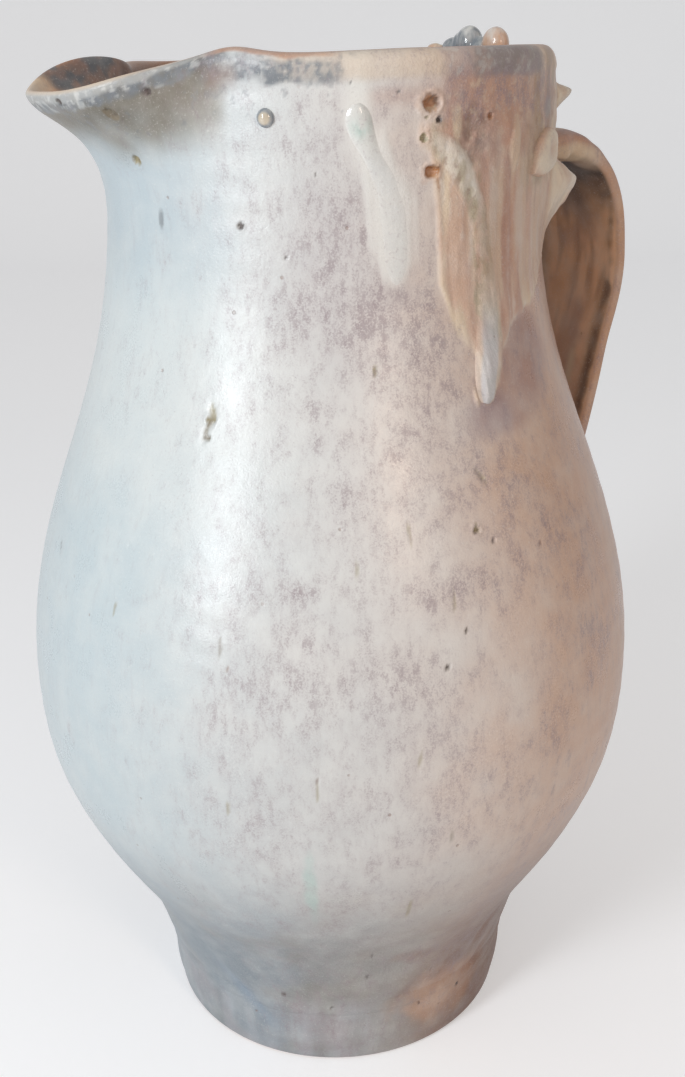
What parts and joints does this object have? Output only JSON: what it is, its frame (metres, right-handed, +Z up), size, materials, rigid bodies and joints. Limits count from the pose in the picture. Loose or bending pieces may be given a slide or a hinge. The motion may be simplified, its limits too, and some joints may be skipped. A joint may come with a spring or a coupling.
{
  "type": "pottery jug",
  "caption": "Round-bellied glazed stoneware jug on a pinched-in foot, with a tall neck, a broad pulled spout, a strap handle, and lumps of clay and runs of glaze beside it.",
  "frame": {"origin": "centre of the flat underside of the foot", "axes": "+Z up along the turning axis, -X toward the spout, +X toward the strap handle"},
  "size_m": [0.2057, 0.1984, 0.3281],
  "materials": {
    "body_glaze": "satin",
    "foot_glaze": "satin",
    "rim_glaze": "satin",
    "handle_glaze": "satin",
    "lump_glaze": "gloss",
    "grey_glass": "gloss",
    "cream_glass": "gloss",
    "white_glass": "gloss"
  },
  "bodies": {
    "root": {"turned_foot": "foot_glaze", "lower_body": "body_glaze", "upper_body": "body_glaze", "rim_and_spout": "rim_glaze", "strap_handle": "handle_glaze", "upper_spur": "lump_glaze", "lower_spur": "lump_glaze", "thumb_rest": "lump_glaze", "left_rim_pellet": "grey_glass", "right_rim_pellet": "lump_glaze", "rim_nub": "lump_glaze", "cream_glaze_run": "cream_glass", "white_glaze_run": "white_glass", "glass_bead": "grey_glass"}
  },
  "joints": []
}
